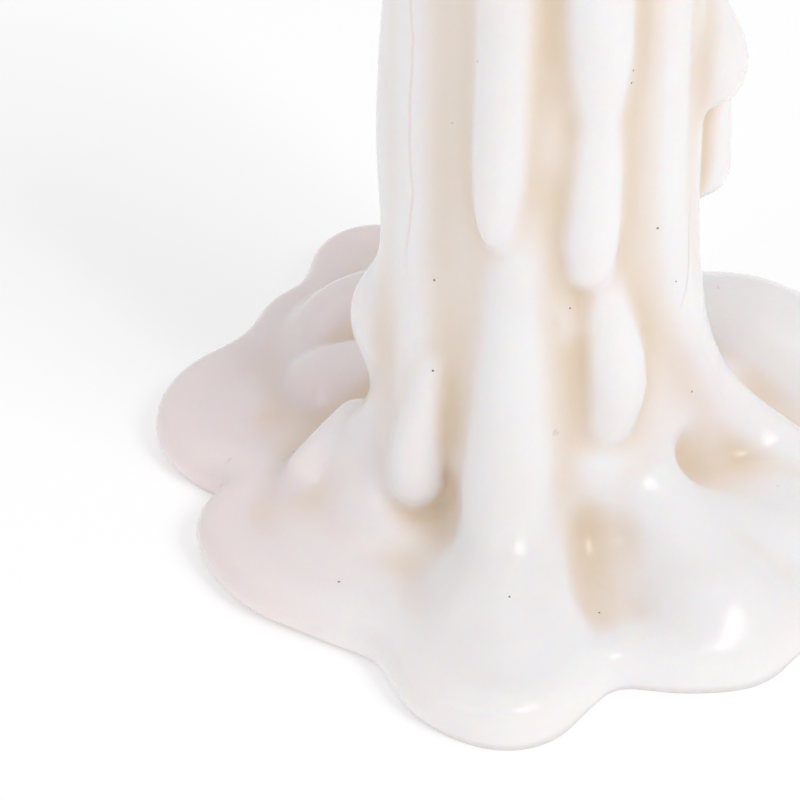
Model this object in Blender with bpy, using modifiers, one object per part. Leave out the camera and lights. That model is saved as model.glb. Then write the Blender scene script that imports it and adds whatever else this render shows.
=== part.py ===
"""A pillar candle that has burned, run and pooled round its own foot.

The wax is one solid: a fluted column of set runs, standing in the thick lobed pool that
the runs made. A cotton wick goes up its axis, out of a tinned steel tab in the underside.
All of it hangs on the empty "wick axis".

Lengths are in millimetres until metres() turns them into Blender's unit. A place is given
by its bearing about the wick, in degrees from the front (-Y) towards +X, its reach from
the wick's axis, and its height above the surface that the candle stands on.
"""
import math

import bmesh
import bpy
from mathutils import Vector

# ---------------------------------------------------------------- driving dimensions
WAX_HEIGHT = 146.0          # the highest point of the wax rim
CORE_RADIUS = 21.8          # the candle between its runs
WICK_DIAMETER = 2.8
WICK_TIP = 150.0
GAP = 0.3                   # clearance between pieces that touch
AXIS = (0.7, -2.7)          # the wick, from the middle of the pool's bounding box

RIM_THICKNESS = 4.6         # half the thickness of the pool's rounded edge
RIM_HEIGHT = 3.9            # the middle of that edge above the ground
POOL_FLOOR = 6.4            # the flat of the pool inside its edge

WELL_RADIUS = 16.5          # the melted hollow round the wick
WELL_DEPTH = 8.0

TAB_RADIUS = 10.0           # the wick's steel tab
TAB_THICKNESS = 0.6
TAB_NECK_RADIUS = 2.5
TAB_NECK_HEIGHT = 6.0
TAB_LIFT = 0.4              # the tab sits up inside the base, clear of the ground

VOXEL = 1.5                 # the grain at which the wax shapes are fused
WAX_FACES = 9000

# ---------------------------------------------------------------- the pool's outline
# (bearing, reach) of the middle of the rounded edge, lobe by lobe
POOL_EDGE = [
    (-157, 69.8), (-151, 69.4), (-146, 63.2), (-141, 60.2), (-136, 60.8), (-129, 57.6),
    (-122, 58.0), (-115, 60.8), (-108, 61.6), (-101, 60.0), (-95, 54.4), (-88, 43.6),
    (-81, 50.4), (-74, 53.8), (-60, 52.8),
    (-47, 48.7), (-37, 47.0), (-31, 46.8), (-24, 52.4), (-17, 57.3), (-6, 58.6), (2, 51.2),
    (8, 45.0), (12, 44.4), (19, 47.0), (27, 50.4), (36, 51.5), (46, 51.6), (55, 52.2),
    (66, 54.5), (78, 57.5), (89, 57.6), (99, 54.5), (107, 54.0), (117, 58.5), (127, 61.4),
    (135, 61.6), (143, 59.8), (151, 56.6), (160, 57.0), (171, 60.5), (-179, 60.5),
    (-171, 58.5), (-164, 63.8),
]

# Each route below is (bearing, reach, height, radius) along the middle of a flow of wax.
FLOWS = {
    "front arm": [(-14, 18, 18, 8.0), (-12.5, 27, 7.0, 11.5), (-10, 36, 3.0, 12.0),
                  (-8, 45, 0.0, 12.0), (-7.5, 51, -1.8, 11.5)],
    "front arm left": [(-27, 20, 13, 6.0), (-23, 29, 6.5, 8.0), (-19, 40, 1.5, 10.0),
                       (-15, 49, 0, 9.8)],
    "front arm right": [(-5, 20, 14, 6.5), (-4, 28, 8, 7.5), (0.5, 38, 3.5, 9.5),
                        (1.5, 45.5, 1.0, 8.2)],
    "right arm": [(38, 19, 19, 6.2), (40, 27, 11.0, 8.5), (38, 35, 5.5, 10.5), (36, 43, 2.0, 12.5),
                  (35, 46, 0, 11.0)],
    "right arm slope": [(36, 26, 6, 9.5), (32, 33, -1, 14.0), (31, 37, -5.0, 17.0)],
    "right lobe left": [(28, 42, 1.0, 8.5), (28, 45.5, 0.4, 8.5)],
    "right lobe right": [(43, 41, 1.0, 10.0), (43, 45, 0, 9.0)],
    "right swell": [(54, 30, 7.0, 7.5), (55, 36, 5.0, 9.0), (58, 42, 3.5, 9.8), (62, 48, 0, 9.0)],
    "right plain": [(72, 35, 0.5, 11.5), (70, 42, 0.0, 12.0), (67, 48, -1.0, 11.5)],
    "right lobe fill": [(49, 36, 3.0, 9.0), (50, 41, 1.5, 9.5), (51, 46, 0.2, 9.5)],
    "right flow": [(94, 24, 20, 5.0), (94, 31.5, 12.5, 5.0), (88, 39, 8.6, 5.2), (83, 48, 5.5, 5.4)],
    "back right root": [(132, 24, 12, 7.0), (126, 33, 4, 8.0)],
    "left foot": [(-76, 19, 26, 6.5), (-78, 26, 14.5, 7.5), (-80, 33, 6.5, 8.0)],
    "tear foot": [(-58, 19, 24, 6.0), (-62, 25, 12, 7.5), (-66, 32, 4.5, 8.5)],
    "left lobe": [(-74, 42, 0.5, 8.0), (-60, 43, 0.5, 8.5), (-44, 41, 0.5, 8.0), (-34, 40, 0.5, 7.5)],
    "far left lobe": [(-116, 51, 0.0, 8.0), (-105, 53, 0.0, 8.0), (-97, 49.5, 0.0, 7.0)],
    "left slope": [(-50, 24, 7, 7.0), (-56, 36, 1.5, 8.0), (-74, 34, 1.5, 8.0)],
    "left terrace": [(-140, 20, 16, 7.0), (-141, 30, 8, 7.5), (-143, 42, 4.5, 8.0)],
    "back left flow": [(-160, 20, 18, 7.0), (-158, 34, 9, 7.0), (-155, 50, 4, 8.0),
                       (-155, 58, 1, 8.0)],
    "back flow": [(170, 18, 20, 8.0), (172, 32, 9, 8.0), (174, 47, 3, 8.0)],
}

# Hollows left between the flows, with the same four figures for what is missing there.
HOLLOWS = {
    "front hollow": [(14, 29, 20.5, 2.6), (13, 28.5, 17.0, 4.4), (13, 31, 14.2, 5.0),
                     (12, 36, 12.2, 5.0), (10.8, 43, 11.0, 4.0), (10.2, 50, 10.4, 2.4)],
    "front hollow right": [(23, 29, 19.5, 2.0), (21, 30, 16.8, 4.2), (18, 34, 14.4, 4.8),
                           (14, 40, 12.6, 4.2), (11.5, 47, 11.4, 2.8)],
    "right pit": [(58, 28.5, 24.0, 2.4), (60, 27.0, 19.6, 4.4), (66, 28.0, 17.4, 5.2),
                  (74, 32, 16.2, 5.0), (82, 37, 15.8, 3.4)],
    "far left hollow": [(-113, 49, 11.5, 4.0), (-104, 45, 12.0, 6.2), (-95, 41, 12.0, 4.0)],
    "tear hollow": [(-44, 30, 17.5, 7.0), (-38, 33, 15.6, 6.4), (-34, 38, 13.8, 4.6)],
}

# Notches in the top rim, where the melted wax spilled over.
SPILLS = {
    "left spill": [(-90, 12, 148.0, 4.0), (-90, 19, 147.2, 4.2), (-90, 27, 146.6, 3.6)],
    "front spill": [(-20, 12, 147.2, 4.0), (-22, 19, 146.2, 4.4), (-22, 27, 145.4, 3.8)],
    "second spill": [(13, 12, 148.0, 4.0), (14, 19, 147.0, 4.2), (14, 27, 146.2, 3.6)],
    "right spill": [(84, 12, 147.4, 4.0), (84, 19, 146.6, 4.4), (84, 27, 145.8, 3.8)],
    "back spill": [(179, 12, 148.2, 4.0), (180, 19, 147.6, 4.4), (180, 27, 147.0, 3.8)],
}

# ---------------------------------------------------------------- runs down the column
RUNS = {
    "rim left": [(-76, 19.2, 141.6, 3.4), (-56, 19.6, 142.8, 4.0), (-37, 19.2, 142.0, 3.4)],
    "rim right": [(32, 19.2, 141.6, 3.4), (50, 19.6, 143.2, 4.0), (70, 19.2, 142.2, 3.4)],
    "rim back": [(112, 19.4, 141.8, 3.6), (140, 19.6, 142.6, 4.0), (165, 19.2, 141.6, 3.4)],
    "rim far left": [(-168, 19.2, 142.0, 3.4), (-138, 19.6, 143.0, 3.8), (-112, 19.2, 141.4, 3.4)],
    "run 1": [(-88, 18.4, 142, 5.2), (-88, 18.8, 114, 6.4), (-86, 20.8, 74, 6.6),
              (-88, 21.4, 49, 5.4), (-92, 25.4, 38, 5.8), (-92, 25.6, 33.5, 5.8),
              (-90, 23.0, 26, 5.4), (-88, 22.0, 18, 5.4)],
    "run 1b": [(-77, 19.4, 142, 5.0), (-77, 20.0, 96, 5.6), (-76, 20.2, 60, 5.6),
               (-74, 20.6, 36, 5.6), (-77, 22.0, 24, 5.8), (-79, 25.0, 15, 5.6)],
    "run 2": [(-67, 19.2, 142, 4.6), (-67, 20.2, 100, 5.2), (-66, 20.4, 62, 5.2),
              (-63, 20.8, 40, 5.2), (-61, 22.5, 26, 5.2), (-62, 25.0, 16, 5.2)],
    "run 3": [(-15, 17.2, 84, 5.0), (-16, 18.0, 64, 6.0), (-16, 18.8, 46, 6.6),
              (-16, 20.6, 31, 7.4), (-15, 25.5, 18, 7.6), (-12, 33.0, 9.6, 6.6)],
    "run 4": [(48, 18.6, 142, 4.8), (48, 19.2, 100, 5.4), (49, 19.4, 73, 5.2),
              (55, 19.8, 54, 5.0), (65, 20.4, 43, 5.2), (79, 21.2, 33, 5.4), (91, 24.2, 21.8, 5.7),
              (94, 30.0, 13.4, 5.9), (89, 38.0, 8.4, 5.8)],
    "run 4b": [(70, 18.6, 142, 4.6), (70, 19.0, 90, 4.8), (71, 19.0, 60, 4.8), (78, 20.0, 42, 4.6)],
    "run 5": [(122, 20.0, 142, 4.0), (122, 20.4, 100, 4.8), (121, 20.6, 64, 5.0),
              (122, 22.0, 36, 5.2), (124, 26.0, 20, 6.0)],
    "run 6": [(152, 20.0, 141, 3.6), (152, 20.4, 112, 4.4), (150, 20.8, 78, 4.8),
              (151, 21.0, 50, 4.4), (152, 22.0, 26, 4.4)],
    "run 7": [(180, 20.0, 142, 4.2), (179, 20.6, 104, 5.0), (180, 21.0, 70, 5.2),
              (178, 22.0, 40, 5.4), (176, 26.0, 20, 6.0)],
    "run 8": [(-148, 20.0, 142, 3.8), (-149, 20.6, 106, 4.6), (-148, 20.6, 66, 4.6),
              (-146, 21.8, 36, 5.0), (-144, 26.0, 19, 5.6)],
    "run 9": [(-118, 19.6, 142, 4.0), (-118, 20.0, 100, 4.8), (-117, 20.4, 62, 4.8),
              (-117, 21.2, 34, 4.8), (-116, 24.0, 20, 5.0)],
    "left finger": [(-160, 34, 13, 6.5), (-151, 45, 9.2, 7.0), (-144, 49.5, 7.8, 7.0),
                    (-137, 50.0, 7.2, 6.6), (-130, 49.0, 5.8, 6.0), (-122, 48.5, 3.4, 5.4),
                    (-114, 48.0, 0.2, 5.0)],
    "left boulder": [(-132, 27, 11, 6.5), (-127, 34, 8.0, 7.5), (-120, 39.5, 5.8, 8.4)],
    "left knuckle": [(-106, 23, 15, 5.0), (-97, 29, 9.8, 5.0), (-89, 33.5, 8.6, 5.0),
                     (-81, 37.3, 7.8, 5.2),
                     (-77, 41.0, 4.2, 5.2)],
    "knuckle root": [(-84, 25, 10, 5.0), (-80, 32, 5.0, 6.0)],
    "branch left": [(-13, 30, 13.5, 4.5), (-16, 38, 10.0, 4.5), (-18.7, 44, 7.8, 4.2)],
    "branch right": [(-11, 34, 12.0, 4.5), (-9.5, 40, 9.8, 4.5), (-8.7, 44, 8.2, 4.2)],
    "saddle back": [(6, 18.6, 23.5, 5.4), (18, 19.2, 23.5, 6.0), (29, 19.6, 23.0, 5.2)],
    "saddle": [(-4, 19.0, 18.0, 5.0), (8, 19.2, 18.0, 5.4), (20, 20.0, 18.0, 5.6),
               (30, 21.0, 17.5, 5.4)],
    "back right lobe": [(152, 53, 0.0, 9.5), (139, 50.5, 2.5, 12.0), (128, 49.5, 2.5, 12.6),
                        (117, 50.5, 0.5, 11.5)],
}

# ---------------------------------------------------------------- last drips, over the runs
DRIPS = {
    "drip 1": [(-21, 18.6, 142, 4.6), (-22, 18.8, 118, 5.6), (-22, 19.4, 96, 5.4),
               (-22.5, 20.8, 79, 4.9), (-23, 21.8, 70, 3.9), (-23, 22.2, 66.4, 3.0)],
    "drip 2": [(15, 18.6, 142, 4.4), (14, 19.2, 124, 5.0), (15, 19.8, 108, 5.8), (16, 19.8, 97, 5.6),
               (16, 19.4, 88, 4.6), (15.5, 19.0, 81, 4.2)],
    "drip 3": [(16, 19.4, 92, 4.0), (15.5, 20.2, 78, 4.5), (14.0, 21.0, 66, 4.6),
               (14.0, 21.4, 60.5, 3.8)],
    "drip 4": [(17, 19.6, 62, 2.8), (21, 20.4, 53, 3.9), (25, 21.2, 43, 5.0), (26, 21.2, 36, 5.2),
               (24, 20.2, 30.5, 4.8)],
    "drip 5": [(84, 18.6, 142, 4.4), (84, 19.0, 112, 4.8), (84, 20.2, 97, 4.8), (83, 23.0, 87, 6.0),
               (83, 23.2, 83.5, 5.8)],
    "drip 6": [(98, 20.4, 96, 4.2), (99, 22.4, 76, 5.0), (99, 22.8, 62, 5.2)],
    "tear": [(-52, 22.4, 38, 2.0), (-53, 24.0, 31, 3.0), (-53, 25.6, 23, 4.2),
             (-52, 26.2, 16.8, 4.6)],
    "swell 1": [(-4, 17.6, 94, 4.0), (-4, 18.0, 82, 4.4), (-4, 17.8, 71, 4.0)],
    "swell 2": [(-3, 17.8, 58.0, 4.4), (4, 18.0, 50.0, 4.6), (2, 17.6, 42.0, 4.2)],
}


def metres(*lengths):
    """Millimetres to Blender's metres."""
    return Vector([length * 0.001 for length in lengths])


def place(bearing, reach, height):
    """The point at a bearing, reach and height, in metres."""
    turn = math.radians(bearing)
    return metres(reach * math.sin(turn), -reach * math.cos(turn), height)


def new_collection(name):
    collection = bpy.data.collections.new(name)
    bpy.context.scene.collection.children.link(collection)
    return collection


def clear_scene():
    for leftover in list(bpy.data.objects):
        bpy.data.objects.remove(leftover, do_unlink=True)


def spline_through(stations, spacing):
    """Points on a smooth curve through the stations, each with its radius, in metres."""
    knots = [place(*station[:3]).to_4d() for station in stations]
    for knot, station in zip(knots, stations):
        knot.w = station[3] * 0.001
    knots = [knots[0] * 2 - knots[1]] + knots + [knots[-1] * 2 - knots[-2]]
    points = []
    for before, start, end, after in zip(knots, knots[1:], knots[2:], knots[3:]):
        steps = max(2, round((end - start).length / (spacing * 0.001)))
        for step in range(steps):
            t = step / steps
            points.append(0.5 * (2 * start + (end - before) * t
                                 + (2 * before - 5 * start + 4 * end - after) * t ** 2
                                 + (3 * start - before - 3 * end + after) * t ** 3))
    points.append(knots[-2])
    return points


def rounded_ends(points, cap_steps=5):
    """Adds a half-round nose to each end of a row of points with radii."""
    row = list(points)
    for end, neighbour in ((0, 1), (-1, -2)):
        tip = row[end]
        along = (tip - row[neighbour]).to_3d().normalized()
        nose = []
        for step in range(1, cap_steps + 1):
            angle = 0.5 * math.pi * step / cap_steps * 0.98
            at = tip.to_3d() + along * (tip.w * math.sin(angle))
            nose.append(Vector((at.x, at.y, at.z, tip.w * math.cos(angle))))
        if end == 0:
            row = nose[::-1] + row
        else:
            row = row + nose
    return row


def mesh_from(thing):
    """Turns a curve object, or one with modifiers, into a plain mesh object."""
    bpy.context.view_layer.update()
    evaluated = thing.evaluated_get(bpy.context.evaluated_depsgraph_get())
    mesh = bpy.data.meshes.new_from_object(evaluated)
    shape = bmesh.new()
    shape.from_mesh(mesh)
    bmesh.ops.remove_doubles(shape, verts=shape.verts, dist=0.00002)
    shape.to_mesh(mesh)
    shape.free()
    solid = bpy.data.objects.new(thing.name, mesh)
    solid.matrix_world = thing.matrix_world.copy()
    bpy.context.scene.collection.objects.link(solid)
    bpy.data.objects.remove(thing, do_unlink=True)
    return solid


def bead(name, points, cyclic=False, sides=4):
    """A round-sectioned body along points that carry their own radii."""
    curve = bpy.data.curves.new(name, "CURVE")
    curve.dimensions = "3D"
    curve.bevel_depth = 1.0
    curve.bevel_resolution = sides
    curve.use_fill_caps = not cyclic
    spline = curve.splines.new("POLY")
    spline.points.add(len(points) - 1)
    for vertex, point in zip(spline.points, points):
        vertex.co = (point.x, point.y, point.z, 1.0)
        vertex.radius = point.w
    spline.use_cyclic_u = cyclic
    thing = bpy.data.objects.new(name, curve)
    bpy.context.scene.collection.objects.link(thing)
    return mesh_from(thing)


def flows(routes):
    """A bead of wax along each of the routes."""
    return [bead(name, rounded_ends(spline_through(stations, 1.6)))
            for name, stations in routes.items()]


def turned(name, profile, steps=72):
    """A closed body turned about the wick's axis from (reach, height) points, top to bottom."""
    mesh = bpy.data.meshes.new(name)
    corners = [metres(reach, 0.0, height) for reach, height in profile]
    mesh.from_pydata(corners, [(i, i + 1) for i in range(len(corners) - 1)], [])
    thing = bpy.data.objects.new(name, mesh)
    bpy.context.scene.collection.objects.link(thing)
    screw = thing.modifiers.new("turn", "SCREW")
    screw.steps = steps
    screw.render_steps = steps
    screw.use_merge_vertices = True
    screw.merge_threshold = 0.00001
    return mesh_from(thing)


def closed_edge(points):
    """The pool's edge line as a smooth closed loop of (bearing, reach)."""
    loop = [place(bearing, reach, RIM_HEIGHT) for bearing, reach in points]
    count = len(loop)
    line = []
    for i in range(count):
        before, start, end, after = (loop[(i + k) % count] for k in (-1, 0, 1, 2))
        for step in range(4):
            t = step / 4
            at = 0.5 * (2 * start + (end - before) * t
                        + (2 * before - 5 * start + 4 * end - after) * t ** 2
                        + (3 * start - before - 3 * end + after) * t ** 3)
            line.append(Vector((at.x, at.y, at.z, RIM_THICKNESS * 0.001)))
    return line


def pool_plate(line):
    """The flat of the pool, filled inside its edge line."""
    curve = bpy.data.curves.new("pool plate", "CURVE")
    curve.dimensions = "2D"
    curve.fill_mode = "BOTH"
    curve.extrude = (POOL_FLOOR + 4.0) * 0.0005
    spline = curve.splines.new("POLY")
    spline.points.add(len(line) - 1)
    for vertex, point in zip(spline.points, line):
        vertex.co = (point.x, point.y, 0.0, 1.0)
    spline.use_cyclic_u = True
    thing = bpy.data.objects.new("pool plate", curve)
    thing.location = metres(0, 0, POOL_FLOOR / 2 - 2.0)
    bpy.context.scene.collection.objects.link(thing)
    return mesh_from(thing)


def fuse(name, pieces, softening):
    """Runs shapes together into one skin, then softens it by a radius in millimetres."""
    mass = pieces[0]
    if len(pieces) > 1:
        bpy.ops.object.select_all(action="DESELECT")
        for piece in pieces:
            piece.select_set(True)
        bpy.context.view_layer.objects.active = mass
        bpy.ops.object.join()
    mass.name = name
    remesh = mass.modifiers.new("run together", "REMESH")
    remesh.mode = "VOXEL"
    remesh.voxel_size = VOXEL * 0.001
    smooth = mass.modifiers.new("soften", "SMOOTH")
    smooth.factor = 0.5
    smooth.iterations = round((2 * softening / VOXEL) ** 2)
    return mesh_from(mass)


def carve(mass, tools):
    """Takes the tools' shapes out of the mass for good."""
    for tool in tools:
        cut(mass, tool, tool.name)
    mass = mesh_from(mass)
    for tool in tools:
        bpy.data.objects.remove(tool, do_unlink=True)
    return mass


def cutter_from(name, profile, steps=48):
    """A turned cutting body, kept out of the model."""
    tool = turned(name, profile, steps)
    tool.hide_render = True
    tool.display_type = "WIRE"
    move_to(tool, cutters)
    return tool


def cut(body, tool, name):
    boolean = body.modifiers.new(name, "BOOLEAN")
    boolean.operation = "DIFFERENCE"
    boolean.solver = "EXACT"
    boolean.object = tool


def move_to(thing, collection):
    for owner in list(thing.users_collection):
        owner.objects.unlink(thing)
    collection.objects.link(thing)


def material(name, colour, roughness, metallic=0.0):
    """A plain finish; colour is linear RGB."""
    finish = bpy.data.materials.new(name)
    finish.use_nodes = True
    shader = finish.node_tree.nodes["Principled BSDF"]
    shader.inputs["Base Color"].default_value = (*colour, 1.0)
    shader.inputs["Roughness"].default_value = roughness
    shader.inputs["Metallic"].default_value = metallic
    return finish


def finish_piece(thing, name, finish, sharp_angle=40):
    """Names a finished piece, gives it its material and shading, and files it in the model."""
    thing.name = name
    thing.data.name = name
    thing.data.materials.clear()
    thing.data.materials.append(finish)
    thing.data.shade_smooth()
    thing.data.set_sharp_from_angle(angle=math.radians(sharp_angle))
    move_to(thing, candle)


def wax_core():
    """The candle itself, straight down to a foot that flares out under the runs."""
    top = WAX_HEIGHT - 1.0
    return turned("core", [
        (0.0, top), (CORE_RADIUS - 0.4, top), (CORE_RADIUS + 0.2, top - 2.0),
        (CORE_RADIUS, WAX_HEIGHT - 14.0), (CORE_RADIUS, 44), (CORE_RADIUS + 0.9, 30),
        (CORE_RADIUS + 2.6, 20), (CORE_RADIUS + 5.6, 13), (CORE_RADIUS + 10, 9),
        (CORE_RADIUS + 15, POOL_FLOOR), (CORE_RADIUS + 15, -4), (0.0, -4)])


def melt_well():
    """The bowl that the flame melted round the wick, with its lip rounded over."""
    floor = WAX_HEIGHT - WELL_DEPTH
    bowl = [(WELL_RADIUS + 5.0, WAX_HEIGHT + 6.0)]
    for step in range(13):
        turn = 0.5 * math.pi * step / 12
        bowl.append((WELL_RADIUS * math.cos(turn), WAX_HEIGHT - WELL_DEPTH * math.sin(turn)))
    bowl[-1] = (0.0, floor)
    return turned("melt well", [(0.0, WAX_HEIGHT + 6.0)] + bowl)


def wick_hole():
    """The way up the candle for the tab, its neck and the wick."""
    wick = WICK_DIAMETER / 2 + GAP
    neck = TAB_NECK_RADIUS + GAP
    tab = TAB_RADIUS + GAP
    tab_top = TAB_LIFT + TAB_THICKNESS + GAP
    neck_top = TAB_LIFT + TAB_THICKNESS + TAB_NECK_HEIGHT + GAP
    return cutter_from("wick hole", [
        (0.0, WICK_TIP), (wick, WICK_TIP), (wick, neck_top), (neck, neck_top),
        (neck, tab_top), (tab, tab_top), (tab, -8.0), (0.0, -8.0)])


def ground():
    """What the candle stands on, as the body that cuts its underside flat."""
    return cutter_from("ground", [(0.0, 0.0), (120.0, 0.0), (120.0, -30.0), (0.0, -30.0)])


def wax_body():
    """Core, pool, runs and drips fused in passes, from the broad to the fine."""
    edge = closed_edge(POOL_EDGE)
    pool = [wax_core(), pool_plate(edge), bead("pool edge", edge, cyclic=True)]
    mass = fuse("wax", pool + flows(FLOWS), 2.6)
    mass = fuse("wax", [mass] + flows(RUNS), 2.1)
    mass = fuse("wax", [carve(mass, flows(HOLLOWS))], 2.0)
    mass = fuse("wax", [mass] + flows(DRIPS), 1.5)
    mass = fuse("wax", [carve(mass, [melt_well()] + flows(SPILLS))], 0.7)
    thin = mass.modifiers.new("fewer faces", "DECIMATE")
    thin.ratio = WAX_FACES / (2 * len(mass.data.polygons))
    cut(mass, ground(), "flat underside")
    cut(mass, wick_hole(), "wick hole")
    return mass


def wick():
    """Braided cotton up the axis, curled over and burned at its tip."""
    foot = TAB_LIFT + 0.2
    radius = WICK_DIAMETER / 2000
    line = [(0, 0, foot), (0, 0, 40), (0, 0, 90), (0, 0, WAX_HEIGHT - WELL_DEPTH + 1)]
    tip = WICK_TIP - line[-1][2]
    line += [(0.2, 0.0, WICK_TIP - 0.7 * tip), (0.8, -0.1, WICK_TIP - 0.45 * tip),
             (1.9, -0.3, WICK_TIP - 0.22 * tip), (3.1, -0.5, WICK_TIP - 0.12 * tip)]
    points = [metres(*at).to_4d() for at in line]
    for point in points:
        point.w = radius
    return bead("wick", points, sides=4)


def wick_tab():
    """The stamped steel disc and neck that hold the foot of the wick."""
    bore = WICK_DIAMETER / 2 + GAP
    top = TAB_LIFT + TAB_THICKNESS
    ring = [(bore, top + TAB_NECK_HEIGHT), (TAB_NECK_RADIUS, top + TAB_NECK_HEIGHT),
            (TAB_NECK_RADIUS, top), (TAB_RADIUS, top), (TAB_RADIUS, TAB_LIFT), (bore, TAB_LIFT)]
    return turned("wick tab", ring + ring[:1], steps=48)


clear_scene()
candle = new_collection("melted_candle")
cutters = new_collection("cutters")
finish_piece(wax_body(), "wax_body", material("ivory wax", (0.80, 0.72, 0.63), 0.35))
finish_piece(wick(), "wick", material("cotton", (0.35, 0.30, 0.24), 0.9))
finish_piece(wick_tab(), "wick_tab", material("tinned steel", (0.6, 0.6, 0.6), 0.35, 1.0))

axis = bpy.data.objects.new("wick axis", None)
axis.location = metres(*AXIS, 0)
candle.objects.link(axis)
for piece in list(candle.objects) + list(cutters.objects):
    if piece is not axis:
        piece.parent = axis
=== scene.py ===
import math

import bmesh
import bpy
import numpy as np
from mathutils import Matrix, Vector


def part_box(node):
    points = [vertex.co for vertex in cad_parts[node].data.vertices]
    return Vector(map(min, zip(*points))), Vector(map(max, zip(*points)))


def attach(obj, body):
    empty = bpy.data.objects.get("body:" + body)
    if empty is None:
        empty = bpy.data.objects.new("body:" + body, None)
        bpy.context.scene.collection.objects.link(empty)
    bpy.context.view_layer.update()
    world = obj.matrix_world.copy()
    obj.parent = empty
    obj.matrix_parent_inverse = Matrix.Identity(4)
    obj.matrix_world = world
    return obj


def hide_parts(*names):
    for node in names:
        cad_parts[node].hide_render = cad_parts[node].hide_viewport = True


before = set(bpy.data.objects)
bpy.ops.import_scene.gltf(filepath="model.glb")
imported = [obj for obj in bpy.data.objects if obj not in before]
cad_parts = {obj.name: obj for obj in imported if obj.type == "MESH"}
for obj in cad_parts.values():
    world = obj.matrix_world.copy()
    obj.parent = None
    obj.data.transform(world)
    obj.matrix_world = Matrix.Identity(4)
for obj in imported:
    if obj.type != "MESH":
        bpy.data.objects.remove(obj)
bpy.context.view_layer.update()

MM = 0.001

# ---------------------------------------------------------------- sizes, from the frame
TAB_LOW, TAB_HIGH = (Vector(corner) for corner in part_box("wick_tab"))
AXIS = ((TAB_LOW + TAB_HIGH) / 2 * Vector((1, 1, 0)))      # where the wick stands

# ---------------------------------------------------------------- sizes in millimetres
WAX_HEIGHT = 146.0           # the highest point of the rim
WELL_DEPTH = 8.0             # the melted hollow round the wick
WELL_RADIUS = 16.5
CORE_RADIUS = 21.8           # the candle between its runs
RIM_THICKNESS = 4.6          # half the thickness of the pool's rounded edge
RIM_HEIGHT = 3.9             # the middle of that edge above the ground
POOL_FLOOR = 6.4             # the flat of the pool inside its edge
WICK_RADIUS = 1.4
WICK_TIP = 150.0
GAP = 0.3                    # clearance round the wick and the tab
GRAIN = 0.8                  # the wax mesh's grain

# (bearing, reach) of the middle of the pool's rounded edge, lobe by lobe.
POOL_EDGE = [
    (-157, 69.8), (-151, 69.4), (-146, 63.2), (-141, 60.2), (-136, 60.8), (-129, 57.6),
    (-122, 58.0), (-115, 60.8), (-108, 61.6), (-101, 60.0), (-95, 54.4), (-88, 43.6),
    (-81, 50.4), (-74, 53.8), (-60, 52.8),
    (-47, 48.7), (-37, 47.0), (-31, 46.8), (-24, 52.4), (-17, 57.3), (-6, 58.6), (2, 51.2),
    (8, 45.0), (12, 44.4), (19, 47.0), (27, 50.4), (36, 51.5), (46, 51.6), (55, 52.2),
    (66, 54.5), (78, 57.5), (89, 57.6), (99, 54.5), (107, 54.0), (117, 58.5), (127, 61.4),
    (135, 61.6), (143, 59.8), (151, 56.6), (160, 57.0), (171, 60.5), (-179, 60.5),
    (-171, 58.5), (-164, 63.8),
]

# Each route below is (bearing, reach, height, radius) along the middle of a flow of wax.
FLOWS = {
    "front arm": [(-14, 18, 18, 8.0), (-12.5, 27, 7.0, 11.5), (-10, 36, 3.0, 12.0),
                  (-8, 45, 0.0, 12.0), (-7.5, 51, -1.8, 11.5)],
    "front arm left": [(-27, 20, 13, 6.0), (-23, 29, 6.5, 8.0), (-19, 40, 1.5, 10.0),
                       (-15, 49, 0, 9.8)],
    "front arm right": [(-5, 20, 14, 6.5), (-4, 28, 8, 7.5), (0.5, 38, 3.5, 9.5),
                        (1.5, 45.5, 1.0, 8.2)],
    "right arm": [(38, 19, 19, 6.2), (40, 27, 11.0, 8.5), (38, 35, 5.5, 10.5), (36, 43, 2.0, 12.5),
                  (35, 46, 0, 11.0)],
    "right arm slope": [(36, 26, 6, 9.5), (32, 33, -1, 14.0), (31, 37, -5.0, 17.0)],
    "right lobe left": [(28, 42, 1.0, 8.5), (28, 45.5, 0.4, 8.5)],
    "right lobe right": [(43, 41, 1.0, 10.0), (43, 45, 0, 9.0)],
    "right swell": [(54, 30, 7.0, 7.5), (55, 36, 5.0, 9.0), (58, 42, 3.5, 9.8), (62, 48, 0, 9.0)],
    "right plain": [(72, 35, 0.5, 11.5), (70, 42, 0.0, 12.0), (67, 48, -1.0, 11.5)],
    "right lobe fill": [(49, 36, 3.0, 9.0), (50, 41, 1.5, 9.5), (51, 46, 0.2, 9.5)],
    "right flow": [(94, 24, 20, 5.0), (94, 31.5, 12.5, 5.0), (88, 39, 8.6, 5.2),
                   (83, 48, 5.5, 5.4)],
    "back right root": [(132, 24, 12, 7.0), (126, 33, 4, 8.0)],
    "left foot": [(-76, 19, 26, 6.5), (-78, 26, 14.5, 7.5), (-80, 33, 6.5, 8.0)],
    "tear foot": [(-58, 19, 24, 6.0), (-62, 25, 12, 7.5), (-66, 32, 4.5, 8.5)],
    "left lobe": [(-74, 42, 0.5, 8.0), (-60, 43, 0.5, 8.5), (-44, 41, 0.5, 8.0),
                  (-34, 40, 0.5, 7.5)],
    "far left lobe": [(-116, 51, 0.0, 8.0), (-105, 53, 0.0, 8.0), (-97, 49.5, 0.0, 7.0)],
    "left slope": [(-50, 24, 7, 7.0), (-56, 36, 1.5, 8.0), (-74, 34, 1.5, 8.0)],
    "left terrace": [(-140, 20, 16, 7.0), (-141, 30, 8, 7.5), (-143, 42, 4.5, 8.0)],
    "back left flow": [(-160, 20, 18, 7.0), (-158, 34, 9, 7.0), (-155, 50, 4, 8.0),
                       (-155, 58, 1, 8.0)],
    "back flow": [(170, 18, 20, 8.0), (172, 32, 9, 8.0), (174, 47, 3, 8.0)],
}

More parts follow.
